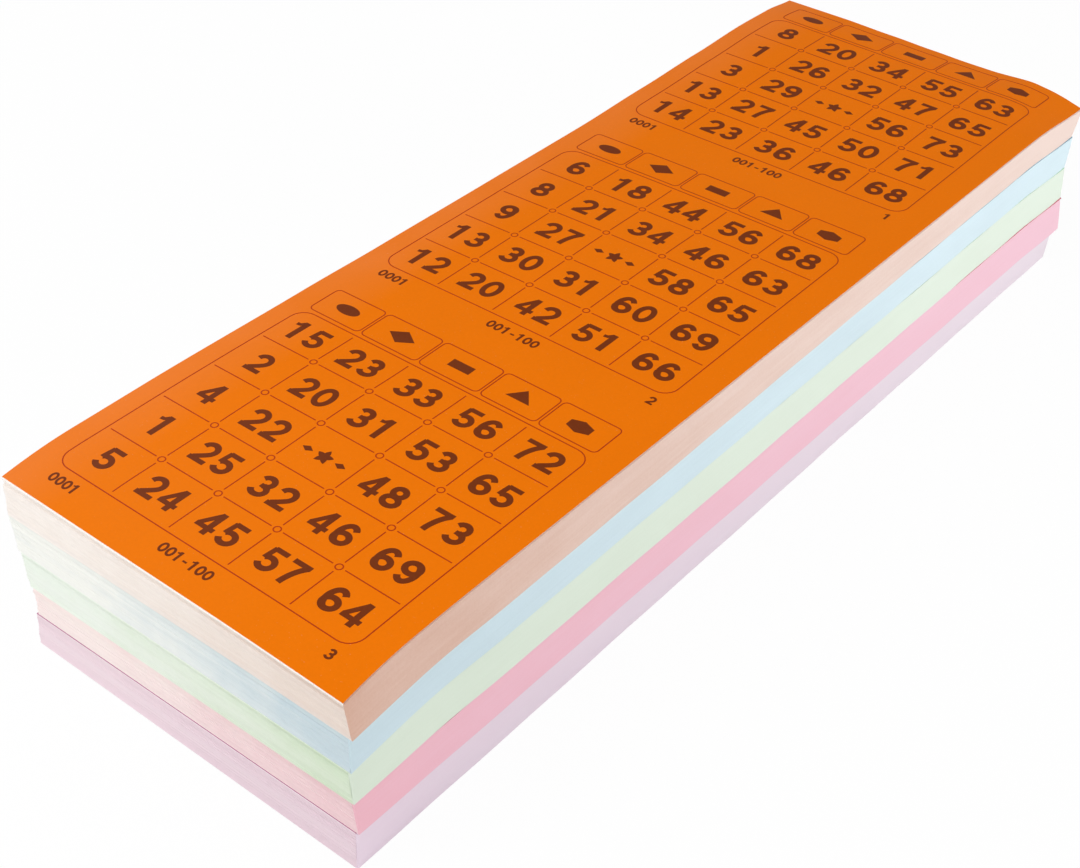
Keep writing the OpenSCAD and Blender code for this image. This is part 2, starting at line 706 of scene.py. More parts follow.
class Slab:
    """A straight run of paper or glue between eight corners, in millimetres."""

    def __init__(self, low: np.ndarray, high: np.ndarray) -> None:
        """Keep the lower and the upper corners, by free or glued side and then near or far end."""
        self.low = low
        self.high = high

    @classmethod
    def of(cls, node: str) -> "Slab":
        """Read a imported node's corners.

        Args:
            node: The node's name.

        Returns:
            The slab between them.
        """
        corners = np.unique(np.round(points_of(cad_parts[node].data) / MM, 4), axis=0)
        by_height = corners[np.argsort(corners[:, 2])]
        half = len(by_height) // 2
        return cls(cls._ordered(by_height[:half]), cls._ordered(by_height[half:]))

    @staticmethod
    def _ordered(four: np.ndarray) -> np.ndarray:
        """Put four corners of one level in order.

        Args:
            four: The corners in any order.

        Returns:
            The corners by side and then end.
        """
        by_length = four[np.argsort(four[:, 1])]
        near, far = by_length[:2], by_length[2:]
        near, far = near[np.argsort(near[:, 0])], far[np.argsort(far[:, 0])]
        return np.stack([np.stack([near[side], far[side]]) for side in (0, 1)])

    def depth(self) -> float:
        """Give the height from the lower corners to the upper ones."""
        return float(self.high[0, 0, 2] - self.low[0, 0, 2])

    def place(self, shares: np.ndarray) -> np.ndarray:
        """Put points given as shares into the slab.

        Args:
            shares: One row for each point: across, along and up, from 0 to 1.

        Returns:
            Their places in the straight stack.
        """
        across, along, up = (shares[:, i : i + 1] for i in range(3))

        def level(corners: np.ndarray) -> np.ndarray:
            """Give the points' places on one level.

            Args:
                corners: The level's four corners.

            Returns:
                One place for each point.
            """
            near = mix(corners[0, 0], corners[1, 0], across)
            far = mix(corners[0, 1], corners[1, 1], across)
            return mix(near, far, along)

        return mix(level(self.low), level(self.high), up)


class Builder:
    """Shapes one pad's meshes in shares of a slab and settles them into the stack."""

    # Faces across and along each kind of piece
    TICKET_FACES = (56, 130)
    FIRST_PAD_TICKET_FACES = (84, 172)
    LEAF_FACES = (40, 22)
    BLOCK_FACES = (30, 70)
    GLUE_FACES = (14, 120)
    SMOOTH_ANGLE = 35
    # How much a face's normal has of a direction in which the face counts as looking
    LOOKS_UP = 0.5
    LOOKS_GLUED = 0.7
    # How near to an edge, in shares, a point lies on it
    AT_EDGE = 1e-4
    # How steeply a shift of a rim dies away, per share of the length or the width
    NEAR_FADE = 60.0
    GLUE_FADE = 25.0
    # Gaps between loose leaves, and the ripple that runs across them
    SAG_LENGTH = 7.0
    GAP_MEAN = 0.55
    GAP_WAVE = 0.45
    RIPPLE = 0.02
    RIPPLE_LENGTH = 19.0
    # How much the rows of a loose leaf's points crowd towards its near end
    CROWDING = 2.2
    # How far a loose leaf lies back (mean and spread, least and most) and aside
    LEAF_BACK = (0.03, 0.04)
    LEAF_BACK_LIMITS = (-0.05, 0.12)
    LEAF_ASIDE = 0.06
    # Axis, edge, outward direction and usual step of each side of the tight leaves that shows
    RAGGED_SIDES = ((0, 0.0, -1.0, 0.06), (1, 0.0, -1.0, 0.035), (1, 1.0, 1.0, 0.035))
    # The glue's outer face: rows crowding to both ends, its belly, and waves along it
    GLUE_CROWDING = 0.3
    GLUE_BELLY = 0.08
    GLUE_WAVE = 0.03
    GLUE_WAVE_TURNS = (23.0, 61.0)

    def __init__(self, pad: Pad, form: StackForm) -> None:
        """Keep the pad and the stack's form.

        Args:
            pad: The pad that is built.
            form: The waves and corners of the whole stack.
        """
        self.pad = pad
        self.form = form
        self.chance = np.random.default_rng(pad.seed)

    def settle(self, points: np.ndarray) -> np.ndarray:
        """Move points of the straight stack to where the real one has them.

        Args:
            points: One row for each point, in millimetres.

        Returns:
            Their real places.
        """
        pad, form, lie = self.pad, self.form, self.pad.lie
        x, y, z = points.T
        level = hold((z - pad.bottom_z) / (pad.top_z - pad.bottom_z))
        start = y + form.half_length
        across = hold((x + form.half_width) / (2 * form.half_width))
        along = hold(start / (2 * form.half_length))

        def here(pair: Point) -> np.ndarray:
            """Read a pair, given at the pad's bottom and top, at the points' own levels."""
            return mix(*pair, level)

        near = hold(start / form.near_corner_reach)
        inset = here(lie.near_left_in) * (1.0 - near) ** 2 * (1.0 - across) ** 2
        glued = mix(here(lie.glue_near), here(lie.glue_far), along) * across**2
        trim = mix(here(lie.trim_near), here(lie.trim_far), along)
        trim += here(lie.flare) * hold(1.0 - start / form.flare_reach) ** 2
        trim += here(lie.pinch) * np.exp(-(((start - form.pinch_at) / form.pinch_reach) ** 2))
        glued += trim * hold((x - form.margin_start) / form.margin_width)
        far = hold((form.half_length - y) / form.far_corner_reach)
        tip = hold((x - form.far_corner_start) / form.far_corner_width) ** form.far_corner_power
        back = here(lie.far_right_back) * tip * (1.0 - far) ** 2
        close = hold(1.0 - start / form.near_end_reach) ** 2
        out = mix(here(lie.near_left_out), here(lie.near_right_out), across) * close
        return np.stack([x + inset + glued, y - back - out, z + form.lift(points)], axis=1)

    def sag(self, points: np.ndarray, leaves_above: np.ndarray) -> np.ndarray:
        """Give how far loose leaves sink at the near end, where gaps have opened above them.

        Args:
            points: Points of the straight stack, one row each.
            leaves_above: How many leaves lie above each point's own leaf.

        Returns:
            The sag of each point.
        """
        x, y, _ = points.T
        last = 2 + self.pad.loose_count()
        near = np.exp(-np.clip(y + self.form.half_length, 0.0, None) / self.SAG_LENGTH)
        sunk = np.zeros(len(points))
        for gap in self.pad.lie.gaps:
            turn = 2 * math.pi * x / gap.wave_length + gap.phase
            wave = self.GAP_MEAN + self.GAP_WAVE * np.sin(turn)
            below = leaves_above >= gap.leaves_above
            fading = hold((last - leaves_above) / (last - gap.leaves_above))
            sunk += np.where(below, gap.opening * wave * fading, 0.0)
        middle = np.sin(math.pi * hold((leaves_above - 1) / last))
        ripple = self.RIPPLE * np.sin(2 * math.pi * x / self.RIPPLE_LENGTH + self.pad.seed) * middle
        return (sunk + ripple) * near

    def finish_mesh(
        self,
        piece: bpy.types.Object,
        points: np.ndarray,
        part: str,
        finishes: Sequence[bpy.types.Material],
        slot: str,
        replaces: bool = True,
    ) -> None:
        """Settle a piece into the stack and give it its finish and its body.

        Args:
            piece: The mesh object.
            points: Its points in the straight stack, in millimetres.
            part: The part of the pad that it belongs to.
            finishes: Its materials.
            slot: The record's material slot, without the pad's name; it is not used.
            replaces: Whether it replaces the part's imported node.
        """
        set_points(piece.data, self.settle(points) * MM)
        edit(piece)
        bpy.ops.mesh.normals_make_consistent(inside=False)
        leave_edit()
        bpy.ops.object.shade_smooth_by_angle(angle=math.radians(self.SMOOTH_ANGLE))
        for finish in finishes:
            piece.data.materials.append(finish)
        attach(piece, self.pad.body(part))
        self.pad.node(slot)
        if replaces:
            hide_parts(self.pad.node(part))
        LOG.info("%s: %d faces", piece.name, len(piece.data.polygons))

    @staticmethod
    def grid(name: str, across: int, along: int) -> bpy.types.Object:
        """Add a sheet one share wide, long and high, cut into small faces.

        Args:
            name: The object's name.
            across: Faces across it.
            along: Faces along it.

        Returns:
            The sheet, its points given in shares.
        """
        piece = add_grid(across, along)
        piece.name = piece.data.name = name
        edit(piece)
        raise_selected()
        leave_edit()
        return piece

    @staticmethod
    def pile(piece: bpy.types.Object, count: int, merged: bool = False) -> None:
        """Repeat a leaf upwards, one share for each copy.

        Args:
            piece: The leaf.
            count: How many leaves are wanted.
            merged: Whether each copy grows out of the one below.
        """
        make_active(piece)
        array = piece.modifiers.new("leaves", "ARRAY")
        array.count = count
        array.use_relative_offset = False
        array.use_constant_offset = True
        array.constant_offset_displace = (0.0, 0.0, 1.0)
        array.use_merge_vertices = merged
        array.merge_threshold = 1e-3
        bpy.ops.object.modifier_apply(modifier=array.name)

    def sheet(self, part: str, slab: Slab, leaves_above: int) -> None:
        """Build one printed ticket.

        Args:
            part: The part's name.
            slab: Where it lies.
            leaves_above: How many leaves lie on it.
        """
        first_pad = self.pad.name is PadName.ORANGE
        faces = self.FIRST_PAD_TICKET_FACES if first_pad else self.TICKET_FACES
        piece = self.grid(self.pad.node(part + "_sheet"), *faces)
        shares = points_of(piece.data)
        points = slab.place(shares)
        if leaves_above == 0:
            reach = mix(*self.pad.lie.lip_near, shares[:, 0])
            points[:, 1] -= reach * hold(1.0 - shares[:, 1] * self.NEAR_FADE)
            reach = mix(*self.pad.lie.lip_glue, shares[:, 1])
            points[:, 0] += reach * hold(1.0 - (1.0 - shares[:, 0]) * self.GLUE_FADE)
        finishes = [self.pad.paper_finish, self.pad.face_finish, self.pad.glue_finish]
        paper, printed, glued = range(3)
        rim = paper
        if self.pad.lie.inked_rim and leaves_above == 0:
            rim = len(finishes)
            finishes.append(self.pad.rim_finish)
        self.finish_mesh(piece, points, part, finishes, "print")
        for face in piece.data.polygons:
            if face.normal.x > self.LOOKS_GLUED:
                face.material_index = glued
            elif face.normal.z > self.LOOKS_UP:
                face.material_index = printed
            elif face.normal.z > -self.LOOKS_UP:
                face.material_index = rim

    def loose_leaves(self) -> None:
        """Build the leaves that have worked loose, each a sheet of its own."""
        count = self.pad.loose_count()
        piece = self.grid(self.pad.node("loose_leaves"), *self.LEAF_FACES)
        self.pile(piece, count)
        shares = points_of(piece.data)
        leaf = np.repeat(np.arange(count), len(shares) // count)
        shares[:, 2] /= count
        shares[:, 1] **= self.CROWDING
        points = self.pad.loose.place(shares)
        points[:, 2] -= self.sag(points, 1 + count - leaf)
        back = self.chance.normal(*self.LEAF_BACK, count).clip(*self.LEAF_BACK_LIMITS)
        bundle_backs = np.array(self.pad.lie.bundle_backs)
        back += bundle_backs[np.arange(count) * len(bundle_backs) // count]
        points[:, 1] += back[leaf] * hold(1.0 - shares[:, 1] * self.NEAR_FADE)
        sideways = self.chance.normal(0.0, self.LEAF_ASIDE, count)
        points[:, 0] += np.where(shares[:, 0] < self.AT_EDGE, sideways[leaf], 0.0)
        self.keep_tone(piece, leaf, count, self.pad.lie.fresh_leaves)
        finishes = (self.pad.leaf_finish, self.pad.face_finish)
        self.finish_mesh(piece, points, "loose_tickets", finishes, "leaves")
        # The highest loose leaf is a printed ticket too
        faces_each = len(piece.data.polygons) // count
        for face in piece.data.polygons[-faces_each:]:
            face.material_index = int(face.normal.z > self.LOOKS_UP)

    def keep_tone(self, piece: bpy.types.Object, leaf: np.ndarray, count: int, fresh: int = 0) -> None:
        """Keep two tones between 0 and 1 for each leaf, which its material reads.

        Args:
            piece: The leaves.
            leaf: Which leaf each point belongs to.
            count: How many leaves there are.
            fresh: How many of the highest leaves have white edges, a painted highlight where those edges
                catch the light.
        """
        tones = {
            "leaf_tone": self.chance.random(count),
            "fresh": (np.arange(count) >= count - fresh).astype(float),
        }
        for name, values in tones.items():
            kept = piece.data.attributes.new(name, "FLOAT", "POINT")
            kept.data.foreach_set("value", values[leaf].astype(np.float32))

    def stepped_box(self, name: str, across: int, along: int, rings: int) -> bpy.types.Object:
        """Build a closed box whose sides are cut into level rings, one share apart.

        Args:
            name: The object's name.
            across: Faces across it.
            along: Faces along it.
            rings: How many rings of points its sides have.

        Returns:
            The box, its points given in shares and ring numbers.
        """
        deselect_all()
        bpy.ops.mesh.primitive_circle_add(vertices=2 * (across + along), fill_type="NOTHING")
        piece = bpy.context.object
        piece.name = piece.data.name = name
        near = [(step / across, 0.0) for step in range(across)]
        glued = [(1.0, step / along) for step in range(along)]
        outline = near + glued + [(1.0 - a, 1.0 - b) for a, b in near + glued]
        set_points(piece.data, np.array([(a, b, 0.0) for a, b in outline]))
        edit(piece)
        raise_selected()
        leave_edit()
        self.pile(piece, rings - 1, merged=True)
        lids = [add_grid(across, along, level) for level in (0, rings - 1)]
        make_active(piece)
        for lid in lids:
            lid.select_set(True)
        bpy.ops.object.join()
        edit(piece)
        bpy.ops.mesh.remove_doubles(threshold=1e-4)
        leave_edit()
        return piece

    def block(self) -> None:
        """Build the leaves that lie tight, whose sides step in and out from leaf to leaf."""
        count = self.pad.leaf_count()
        piece = self.stepped_box(self.pad.node("tight_leaves"), *self.BLOCK_FACES, 2 * count)
        shares = points_of(piece.data)
        ring = np.rint(shares[:, 2]).astype(int)
        leaf = ring // 2
        shares[:, 2] = (leaf + ring % 2) / count
        points = self.pad.block.place(shares)
        for axis, edge, outwards, spread in self.RAGGED_SIDES:
            out = outwards * self.ragged(count, spread)
            at_edge = np.abs(shares[:, axis] - edge) < self.AT_EDGE
            points[:, axis] += np.where(at_edge, out[leaf], 0.0)
        self.keep_tone(piece, leaf, count)
        self.finish_mesh(piece, points, "ticket_block", (self.pad.leaf_finish,), "leaves")

    def ragged(self, count: int, spread: float) -> np.ndarray:
        """Give how far each leaf stands out at one edge: a slow drift and a step for each leaf.

        Args:
            count: How many leaves there are.
            spread: The usual step, in millimetres.

        Returns:
            One distance for each leaf.
        """
        drift = np.cumsum(self.chance.normal(0.0, spread * 0.5, count))
        drift -= np.linspace(drift[0], drift[-1], count)
        return np.clip(drift + self.chance.normal(0.0, spread * 0.5, count), -3 * spread, 2 * spread)

    def glue(self) -> None:
        """Build the film of dried glue, a little uneven along its length."""
        piece = self.grid(self.pad.node("glue_film"), *self.GLUE_FACES)
        # The grid's faces lie across the height here, and its thickness across the film's
        shares = points_of(piece.data)[:, ::-1].copy()
        shares[:, 1] = mix(shares[:, 1], ease(shares[:, 1]), self.GLUE_CROWDING)
        points = self.pad.glue_film.place(shares)
        across, along, up = shares.T
        slow, quick = self.GLUE_WAVE_TURNS
        wave = np.sin(along * slow + self.pad.seed) + np.sin(along * quick + 2.0 * up)
        belly = np.sin(math.pi * up) * self.GLUE_BELLY
        points[:, 0] += np.where(across > 0.5, self.GLUE_WAVE * wave + belly, 0.0)
        self.finish_mesh(piece, points, "glue_edge", (self.pad.glue_finish,), "glue")


# The print


# Cards on a ticket, squares along each side of a card, and numbers to choose from in a column
CARDS = 3
SQUARES = 5
CHOICES = 15


@dataclass(frozen=True)
class CardLayout:
    """Where everything is printed on one card, from the card's own near and free corner."""

    first_x: float = -32.1
    first_y: float = -97.85
    pitch: float = 70.3
    left: float = 0.4
    right: float = 60.8
    bottom: float = 0.25
    top: float = 51.6
    row: float = 10.5
    corner: float = 2.7
    line: float = 0.18
    line_stop: float = 0.75
    ring: float = 0.58
    ring_stop: float = 1.15
    head_bottom: float = 52.5
    head_top: float = 59.6
    head_left: float = 0.95
    head_gap: float = 0.5
    head_shares: tuple[float, ...] = (11.0, 12.0, 12.3, 11.1, 11.2)
    head_corner: float = 0.9
    number_height: float = 5.05
    number_first_y: float = 5.5
    number_pitch_y: float = 10.3
    number_nudge: float = -0.1
    small_height: float = 2.0
    small_y: float = -2.25
    serial_x: float = 5.3
    range_x: float = 31.6
    index_x: float = 59.3
    index_lift: float = 0.2
    digit_advance: float = 0.835
    small_advance: float = 0.76

    def column(self, index: float) -> float:
        """Give where a column starts; a half is its middle."""
        return self.left + (self.right - self.left) * index / SQUARES

    def corner_of(self, card: int) -> Point:
        """Give a card's own near and free corner on the ticket."""
        return self.first_x, self.first_y + self.pitch * card


def arc(centre: Point, radii: Point, start: float, end: float, steps: int = 14) -> list[Point]:
    """Give points along part of an ellipse, between two angles in degrees."""
    turns = [math.radians(mix(start, end, step / steps)) for step in range(steps + 1)]
    return [(centre[0] + radii[0] * math.cos(t), centre[1] + radii[1] * math.sin(t)) for t in turns]


def bow(start: Point, pull: Point, end: Point, steps: int = 8) -> list[Point]:
    """Give points along a curve between two ends that a third point pulls aside.

    Args:
        start: Where it starts.
        pull: The point that pulls it aside.
        end: Where it ends.
        steps: How many steps it is cut into.

    Returns:
        The points.
    """
    shares = [step / steps for step in range(steps + 1)]
    return [
        tuple(a * (1 - s) ** 2 + 2 * b * s * (1 - s) + c * s**2 for a, b, c in zip(start, pull, end))
        for s in shares
    ]


@dataclass(frozen=True)
class Stroke:
    """One stroke of a pen with a square nib, on a figure of unit height."""

    line: tuple[Point, ...]
    width: float = 0.2
    closed: bool = False

    def stepped(self, step: float = 0.22) -> "Stroke":
        """Give the same stroke with no stretch longer than a step.

        Args:
            step: The longest stretch.

        Returns:
            The stroke with more points.
        """
        line = [self.line[0]]
        for start, end in zip(self.line, self.line[1:]):
            line += along_line(start, end, step)[1:]
        return Stroke(tuple(line), self.width, self.closed)


def along_line(start: Point, end: Point, step: float = 1.2) -> tuple[Point, ...]:
    """Give points along a straight line, none further apart than a step."""
    count = max(1, math.ceil(math.dist(start, end) / step))
    return tuple(tuple(mix(a, b, i / count) for a, b in zip(start, end)) for i in range(count + 1))


def ring(centre: Point, radii: Point) -> Stroke:
    """Give a closed round stroke."""
    return Stroke(tuple(arc(centre, radii, 90, 450, 28)[:-1]), closed=True)


def open_stroke(*line: Point, width: float = Stroke.width) -> Stroke:
    """Give an open stroke through these points."""
    return Stroke(line, width)


def figures() -> dict[str, tuple[Stroke, ...]]:
    """Give the strokes of the ten figures and the dash.

    Returns:
        The strokes of each sign.
    """
    six = (open_stroke(*arc((0.36, 0.50), (0.25, 0.40), 40, 262, 20)), ring((0.36, 0.32), (0.245, 0.22)))
    nine = tuple(Stroke(tuple((0.71 - x, 1 - y) for x, y in s.line), s.width, s.closed) for s in six)
    hook = arc((0.35, 0.66), (0.24, 0.24), 172, -30) + bow((0.54, 0.50), (0.45, 0.38), (0.15, 0.13), 6)
    return {
        "0": (ring((0.35, 0.50), (0.25, 0.40)),),
        "1": (
            open_stroke((0.40, 0.0), (0.40, 1.0), width=0.21),
            open_stroke((0.08, 0.77), (0.22, 0.79), (0.34, 0.93), width=0.14),
        ),
        "2": (
            open_stroke(*hook),
            open_stroke((0.03, 0.09), (0.68, 0.09), width=0.18),
        ),
        "3": (
            open_stroke(*arc((0.34, 0.70), (0.21, 0.20), 162, -90)),
            open_stroke(*arc((0.34, 0.31), (0.25, 0.21), 90, -162)),
            open_stroke((0.24, 0.505), (0.37, 0.505), width=0.17),
        ),
        "4": (
            open_stroke((0.48, 0.0), (0.48, 1.0)),
            open_stroke((0.0, 0.27), (0.70, 0.27), width=0.17),
            open_stroke((0.07, 0.29), (0.45, 0.93), width=0.17),
        ),
        "5": (
            open_stroke((0.15, 0.91), (0.65, 0.91), width=0.18),
            open_stroke((0.18, 0.95), (0.13, 0.46), width=0.17),
            open_stroke(*arc((0.34, 0.33), (0.25, 0.235), 142, -158, 18)),
        ),
        "6": six,
        "7": (
            open_stroke((0.03, 0.91), (0.68, 0.91), width=0.18),
            open_stroke(*bow((0.59, 0.88), (0.33, 0.58), (0.28, 0.0))),
        ),
        "8": (ring((0.35, 0.71), (0.20, 0.19)), ring((0.35, 0.30), (0.25, 0.205))),
        "9": nine,
        "-": (open_stroke((0.15, 0.40), (0.55, 0.40), width=0.16),),
    }


class Mark(Enum):
    """The plain marks over the five columns, by their number of corners."""

    OVAL = 24
    LOZENGE = 4
    BAR = 1
    TRIANGLE = 3
    HEXAGON = 6


class Press:
    """Makes the printed shapes once and stamps them on every ticket."""

    FIGURE_MIDDLE = (0.35, 0.5)
    ONE_NUDGE = -0.03
    BAR = (4.4, 1.9)
    MARK_RADII = {
        Mark.OVAL: (2.4, 1.25),
        Mark.LOZENGE: (2.7, 1.75),
        Mark.TRIANGLE: (2.7, 1.9),
        Mark.HEXAGON: (2.5, 1.5),
    }
    STAR_TIPS = 5
    STAR_HOLLOW = 0.85
    STAR_REACH = 0.75
    SIDE_LOZENGE = (1.05, 0.62)
    SIDE_LOZENGE_AT = (3.3, -0.05)

    def __init__(self, layout: CardLayout) -> None:
        """Cut the figures and the marks.

        Args:
            layout: Where things are printed on a card.
        """
        self.layout = layout
        self.nib = self._nib()
        self.type = {sign: self._figure(sign, strokes) for sign, strokes in figures().items()}
        self.marks = {mark: self._mark(mark) for mark in Mark}
        self.star = self._star()
        self.rules = self._rules()

    def _nib(self) -> bpy.types.Object:
        """Make the square nib that every stroke is drawn with.

        Returns:
            A square outline.
        """
        outline = bpy.data.curves.new("nib", "CURVE")
        spline = outline.splines.new("POLY")
        spline.points.add(3)
        corners = ((-0.5, -0.5), (0.5, -0.5), (0.5, 0.5), (-0.5, 0.5))
        for point, (x, y) in zip(spline.points, corners):
            point.co = (x, y, 0.0, 1.0)
        spline.use_cyclic_u = True
        return add_object("nib", outline)

    def _draw(self, stroke: Stroke) -> bpy.types.Object:
        """Draw one stroke as a solid that reaches from 0 to 1 in height.

        Args:
            stroke: The stroke, in the units that it is given in.

        Returns:
            The solid.
        """
        path = bpy.data.curves.new("stroke", "CURVE")
        path.dimensions = "3D"
        path.twist_mode = "Z_UP"
        path.bevel_mode = "OBJECT"
        path.bevel_object = self.nib
        path.use_fill_caps = True
        spline = path.splines.new("POLY")
        spline.points.add(len(stroke.line) - 1)
        for point, (x, y) in zip(spline.points, stroke.line):
            point.co = (x, y, 0.0, 1.0)
            point.radius = stroke.width
        spline.use_cyclic_u = stroke.closed
        make_active(add_object("stroke", path))
        bpy.ops.object.convert(target="MESH")
        solid = bpy.context.object
        points = points_of(solid.data)
        points[:, 2] = np.where(points[:, 2] > 0, 1.0, 0.0)
        set_points(solid.data, points)
        edit(solid)
        bpy.ops.mesh.remove_doubles(threshold=1e-5)
        bpy.ops.mesh.normals_make_consistent(inside=False)
        leave_edit()
        return solid

    def _figure(self, sign: str, strokes: Iterable[Stroke]) -> bpy.types.Mesh:
        """Join the strokes of one figure.

        Args:
            sign: The figure.
            strokes: Its strokes.

        Returns:
            One closed mesh, centred on the middle of the figure.
        """
        solids = [self._draw(stroke.stepped()) for stroke in strokes]
        whole = solids[0]
        for other in solids[1:]:
            make_active(whole)
            union = whole.modifiers.new("join", "BOOLEAN")
            union.operation = "UNION"
            union.solver = "EXACT"
            union.object = other
            bpy.ops.object.modifier_apply(modifier=union.name)
            bpy.data.objects.remove(other)
        whole.data.name = f"figure_{sign}"
        across, up = self.FIGURE_MIDDLE
        whole.data.transform(Matrix.Translation((-across, -up, 0.0)))
        return self._keep(whole)

    @staticmethod
    def _keep(piece: bpy.types.Object) -> bpy.types.Mesh:
        """Keep an object's mesh and drop the object.

        Args:
            piece: The object.

        Returns:
            Its mesh.
        """
        mesh = piece.data
        mesh.use_fake_user = True
        bpy.data.objects.remove(piece)
        return mesh

    @staticmethod
    def _gather(name: str, solids: Iterable[bpy.types.Object]) -> bpy.types.Mesh:
        """Put separate solids into one mesh and drop them.

        Args:
            name: The mesh's name.
            solids: The solids.

        Returns:
            The mesh.
        """
        sheet = bmesh.new()
        for solid in solids:
            sheet.from_mesh(solid.data)
            bpy.data.objects.remove(solid)
        mesh = bpy.data.meshes.new(name)
        mesh.use_fake_user = True
        sheet.to_mesh(mesh)
        sheet.free()
        return mesh

    @staticmethod
    def _solid_disc(corners: int, radii: Point) -> bpy.types.Object:
        """Add a flat shape with so many corners, cut finely enough to lie on a wavy sheet.

        Args:
            corners: How many corners it has.
            radii: Its half width and half height.

        Returns:
            The shape, from 0 to 1 in height.
        """
        deselect_all()
        bpy.ops.mesh.primitive_circle_add(vertices=corners, fill_type="TRIFAN", radius=1.0)
        piece = bpy.context.object
        piece.data.transform(Matrix.Diagonal((*radii, 1.0, 1.0)))
        edit(piece)
        bpy.ops.mesh.subdivide(number_cuts=2)
        raise_selected()
        bpy.ops.mesh.normals_make_consistent(inside=False)
        leave_edit()
        return piece

    def _mark(self, mark: Mark) -> bpy.types.Mesh:
        """Cut one of the column marks, in millimetres.

        Args:
            mark: Which mark it is.

        Returns:
            The mark's shape, centred on its middle.
        """
        if mark is Mark.BAR:
            length, width = self.BAR
            line = along_line((-length / 2, 0.0), (length / 2, 0.0))
            return self._keep(self._draw(Stroke(line, width)))
        return self._keep(self._solid_disc(mark.value, self.MARK_RADII[mark]))

    def _star(self) -> bpy.types.Mesh:
        """Cut the star of the free square, with a small lozenge on each side.

        Returns:
            One shape for the three.
        """
        star = self._solid_disc(2 * self.STAR_TIPS, (1.0, 1.0))
        points = points_of(star.data)
        turn = np.arctan2(points[:, 0], points[:, 1])
        wave = np.abs((turn / (math.pi / self.STAR_TIPS)) % 2 - 1)
        points[:, :2] *= (self.STAR_HOLLOW + self.STAR_REACH * wave)[:, None]
        set_points(star.data, points)
        solids = [star]
        aside, up = self.SIDE_LOZENGE_AT
        for side in (-1, 1):
            lozenge = self._solid_disc(Mark.LOZENGE.value, self.SIDE_LOZENGE)
            lozenge.data.transform(Matrix.Translation((side * aside, up, 0.0)))
            solids.append(lozenge)
        return self._gather("free_square", solids)

    def _rounded_box(self, low: Point, high: Point, radius: float) -> Stroke:
        """Give the outline of a box with round corners.

        Args:
            low: Its lower corner.
            high: Its upper corner.
            radius: Radius of its corners.

        Returns:
            A closed stroke.
        """
        (left, bottom), (right, top) = low, high
        turns = (
            (right - radius, bottom + radius, -90),
            (right - radius, top - radius, 0),
            (left + radius, top - radius, 90),
            (left + radius, bottom + radius, 180),
        )
        corners = [arc((x, y), (radius, radius), start, start + 90, 6) for x, y, start in turns]
        line: list[Point] = []
        for corner, following in zip(corners, corners[1:] + corners[:1]):
            line += corner[:-1]
            line += along_line(corner[-1], following[0])[:-1]
        return Stroke(tuple(line), self.layout.line, closed=True)

    def _rules(self) -> bpy.types.Mesh:
        """Draw the frame, the boxes, the lines between the squares and the rings on them.

        Returns:
            One shape for a whole card's lines.
        """
        lay = self.layout
        strokes = [self._rounded_box((lay.left, lay.bottom), (lay.right, lay.top), lay.corner)]
        start = lay.head_left
        for width in lay.head_shares:
            low, high = (start, lay.head_bottom), (start + width, lay.head_top)
            strokes.append(self._rounded_box(low, high, lay.head_corner))
            start += width + lay.head_gap
        rows = [lay.bottom] + [lay.row * j for j in range(1, SQUARES)] + [lay.top]
        columns = [lay.column(index) for index in range(SQUARES + 1)]
        for x in columns[1:-1]:
            for low, high in self._stretches(rows):
                strokes.append(Stroke(along_line((x, low), (x, high)), lay.line))
            for y in rows[1:-1]:
                around = tuple(arc((x, y), (lay.ring, lay.ring), 0, 360, 20)[:-1])
                strokes.append(Stroke(around, lay.line, closed=True))
        for y in rows[1:-1]:
            for low, high in self._stretches(columns):
                strokes.append(Stroke(along_line((low, y), (high, y)), lay.line))
        return self._gather("card_rules", (self._draw(stroke) for stroke in strokes))

    def _stretches(self, places: Sequence[float]) -> list[Point]:
        """Give where each line between two places starts and ends, clear of the frame and rings.

        Args:
            places: The frame's two sides with the crossing lines between them.

        Returns:
            The start and the end of each line.
        """
        lay = self.layout
        stops = [lay.line_stop] + [lay.ring_stop] * (len(places) - 2) + [lay.line_stop]
        clear = list(zip(places, stops))
        return [(low + before, high - after) for (low, before), (high, after) in zip(clear, clear[1:])]

    @staticmethod
    def _stamp(sheet: Sheet, shape: bpy.types.Mesh, at: Point, size: float = 1.0) -> None:
        """Put a copy of a shape on a sheet.

        Args:
            sheet: The ink of the whole ticket so far.
            shape: The shape.
            at: Where its middle goes.
            size: How much larger it gets.
        """
        copy = shape.copy()
        copy.transform(Matrix.Translation((at[0], at[1], 0.0)) @ Matrix.Diagonal((size, size, 1.0, 1.0)))
        sheet.from_mesh(copy)
        bpy.data.meshes.remove(copy)

    def _write(self, sheet: Sheet, text: str, at: Point, height: float, advance: float) -> None:
        """Write figures in a row.

        Args:
            sheet: The ink of the whole ticket so far.
            text: The figures.
            at: The middle of the row.
            height: Their height.
            advance: The step from one to the next, as a share of the height.
        """
        start = at[0] - (len(text) - 1) * advance * height / 2
        for index, sign in enumerate(text):
            nudge = self.ONE_NUDGE * height if sign == "1" else 0.0
            x = start + index * advance * height + nudge
            self._stamp(sheet, self.type[sign], (x, at[1]), height)

    def lines(self, sheet: Sheet, cards: int) -> int:
        """Print the fine lines of every card.

        Args:
            sheet: The ink of the whole ticket so far.
            cards: How many cards the ticket has.

        Returns:
            How many faces the lines have.
        """
        for index in range(cards):
            self._stamp(sheet, self.rules, self.layout.corner_of(index))
        return len(sheet.faces)

